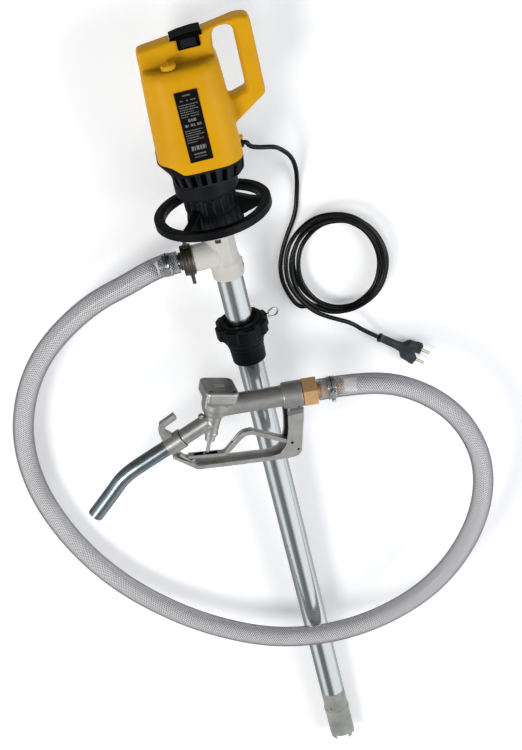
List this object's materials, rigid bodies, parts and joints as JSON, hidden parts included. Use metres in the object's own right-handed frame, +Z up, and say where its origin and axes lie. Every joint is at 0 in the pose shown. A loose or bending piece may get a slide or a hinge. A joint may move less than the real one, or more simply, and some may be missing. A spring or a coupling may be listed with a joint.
{
  "type": "drum barrel pump",
  "caption": "Electric drum barrel pump: motor with D handle, handwheel, immersion tube with bung adapter, clear braided hose, trigger nozzle, mains cable and plug.",
  "frame": {"origin": "on the pump axis at the underside of the suction foot", "axes": "+Z up along the pump axis towards the motor; the outlet branch points to -X and the motor handle to +X; the nozzle and rating label face -Y"},
  "size_m": [0.7416, 0.1817, 1.3483],
  "materials": {
    "yellow_housing": "satin moulded, fine spark texture",
    "black_plastic": "satin moulded",
    "black_gloss": "semi-gloss",
    "label": null,
    "white_plastic": "satin natural polypropylene",
    "foot_plastic": "translucent satin",
    "aluminium_tube": "drawn and polished",
    "cast_aluminium": "cast and bead blasted",
    "steel": "ground",
    "zinc_steel": "zinc plated",
    "nickel_bronze": "dark nickel plated",
    "brass": "turned",
    "hose": "clear flexible vinyl with braid",
    "cable_rubber": "smooth",
    "copper": "drawn",
    "laminated_steel": "laminated",
    "carbon": "sintered",
    "seal_rubber": "matte"
  },
  "bodies": {
    "pump_tube": {"suction_foot": "foot_plastic", "outer_tube": "aluminium_tube", "inner_guide_tube": "steel", "lower_shaft_bush": "white_plastic", "upper_shaft_bush": "white_plastic", "outlet_housing": "white_plastic", "shaft_seal": "seal_rubber", "shaft_bearing": "steel", "outlet_hose_tail": "steel", "outlet_hose_clamp": "zinc_steel", "delivery_hose": "hose", "brass_hose_connector": "brass", "nozzle_hose_clamp": "zinc_steel"},
    "pump_rotor_shaft": {"drive_shaft": "steel", "pump_rotor": "steel", "driven_coupling": "black_plastic"},
    "handwheel": {"handwheel": "black_plastic"},
    "motor": {"motor_flange": "black_plastic", "vent_base": "black_plastic", "motor_shell": "yellow_housing", "rating_label": "label", "stator_core": "laminated_steel", "brush_left": "carbon", "brush_right": "carbon", "motor_bearing_lower": "steel", "motor_bearing_upper": "steel", "bearing_bracket": "cast_aluminium", "switch_frame": "black_gloss", "cable_grommet": "cable_rubber", "power_cable": "cable_rubber", "plug_body": "cable_rubber", "plug_pin_a": "zinc_steel", "plug_pin_b": "zinc_steel"},
    "armature": {"motor_shaft": "steel", "armature_core": "laminated_steel", "commutator": "copper", "cooling_fan": "black_plastic", "drive_coupling": "black_plastic"},
    "rocker": {"rocker_switch": "black_gloss"},
    "speed_knob": {"speed_knob": "yellow_housing"},
    "union_nut": {"union_nut": "nickel_bronze"},
    "outlet_clamp_screw": {"outlet_clamp_screw": "zinc_steel"},
    "nozzle_clamp_screw": {"nozzle_clamp_screw": "zinc_steel"},
    "bung_adapter": {"bung_adapter": "black_plastic"},
    "eye_screw": {"clamp_eye_screw": "zinc_steel"},
    "nozzle": {"nozzle_body": "cast_aluminium", "cap_screw_a": "zinc_steel", "cap_screw_b": "zinc_steel", "cap_screw_c": "zinc_steel", "cap_screw_d": "zinc_steel", "valve_cap": "cast_aluminium", "packing_nut": "cast_aluminium", "spout_collar": "cast_aluminium", "spout": "steel", "trigger_guard": "cast_aluminium", "trigger_pin": "zinc_steel", "valve_spring": "steel"},
    "trigger": {"trigger_lever": "cast_aluminium"},
    "valve": {"valve_stem": "steel"},
    "latch": {"hold_open_latch": "cast_aluminium"}
  },
  "joints": [
    {"name": "handwheel_turn", "type": "hinge", "parent": "pump_tube", "child": "handwheel", "pos_m": [0, 0, 1.067], "axis": [0, 0, 1], "range_deg": [-1080, 0]},
    {"name": "motor_lift", "type": "slide", "parent": "pump_tube", "child": "motor", "axis": [0, 0, 1], "range_m": [0, 0.0121]},
    {"name": "armature_spin", "type": "hinge", "parent": "motor", "child": "armature", "pos_m": [0, 0, 1.17], "axis": [0, 0, 1], "continuous": true},
    {"name": "shaft_spin", "type": "hinge", "parent": "pump_tube", "child": "pump_rotor_shaft", "pos_m": [0, 0, 0.5], "axis": [0, 0, 1], "continuous": true},
    {"name": "switch_rock", "type": "hinge", "parent": "motor", "child": "rocker", "pos_m": [0.0227, -0.013, 1.328], "axis": [0, 0, 1], "range_deg": [-14, 0]},
    {"name": "speed_knob_turn", "type": "hinge", "parent": "motor", "child": "speed_knob", "pos_m": [-0.012, -0.032, 1.308], "axis": [0, 0, 1], "range_deg": [-270, 0]},
    {"name": "union_nut_turn", "type": "hinge", "parent": "pump_tube", "child": "union_nut", "pos_m": [-0.054, 0, 0.997], "axis": [-1, 0, 0], "range_deg": [-720, 0]},
    {"name": "outlet_clamp_screw_turn", "type": "hinge", "parent": "pump_tube", "child": "outlet_clamp_screw", "pos_m": [-0.086, -0.0216, 0.997], "axis": [0, 0, 1], "range_deg": [-1440, 0]},
    {"name": "nozzle_clamp_screw_turn", "type": "hinge", "parent": "pump_tube", "child": "nozzle_clamp_screw", "pos_m": [0.11038, -0.0876, 0.75941], "axis": [-0.0906, 0, -0.9959], "range_deg": [-1440, 0]},
    {"name": "adapter_slide", "type": "slide", "parent": "pump_tube", "child": "bung_adapter", "axis": [0, 0, 1], "range_m": [-0.5, 0.074]},
    {"name": "eye_screw_turn", "type": "hinge", "parent": "bung_adapter", "child": "eye_screw", "pos_m": [0.03864, 0.01035, 0.868], "axis": [0.9659, 0.2588, 0], "range_deg": [-720, 0]},
    {"name": "nozzle_swivel", "type": "hinge", "parent": "pump_tube", "child": "nozzle", "pos_m": [-0.04, -0.066, 0.7731], "axis": [0.9959, 0, -0.0906], "range_deg": [-180, 0]},
    {"name": "trigger_squeeze", "type": "hinge", "parent": "nozzle", "child": "trigger", "pos_m": [0.0324, -0.066, 0.6831], "axis": [0, 1, 0], "range_deg": [0, 5]},
    {"name": "valve_travel", "type": "slide", "parent": "nozzle", "child": "valve", "axis": [0.3697, 0, 0.9291], "range_m": [0, 0.012], "deforming": ["valve_spring"]},
    {"name": "latch_swing", "type": "hinge", "parent": "nozzle", "child": "latch", "pos_m": [-0.141, -0.066, 0.707], "axis": [0, 1, 0], "range_deg": [-8, 0]}
  ],
  "couplings": [
    {"joint": "motor_lift", "follows": "handwheel_turn", "m_per_rad": -0.00063662},
    {"joint": "shaft_spin", "follows": "armature_spin", "ratio": 1},
    {"joint": "valve_travel", "follows": "trigger_squeeze", "m_per_rad": 0.12615},
    {"joint": "latch_swing", "follows": "trigger_squeeze", "ratio": -1.5}
  ]
}
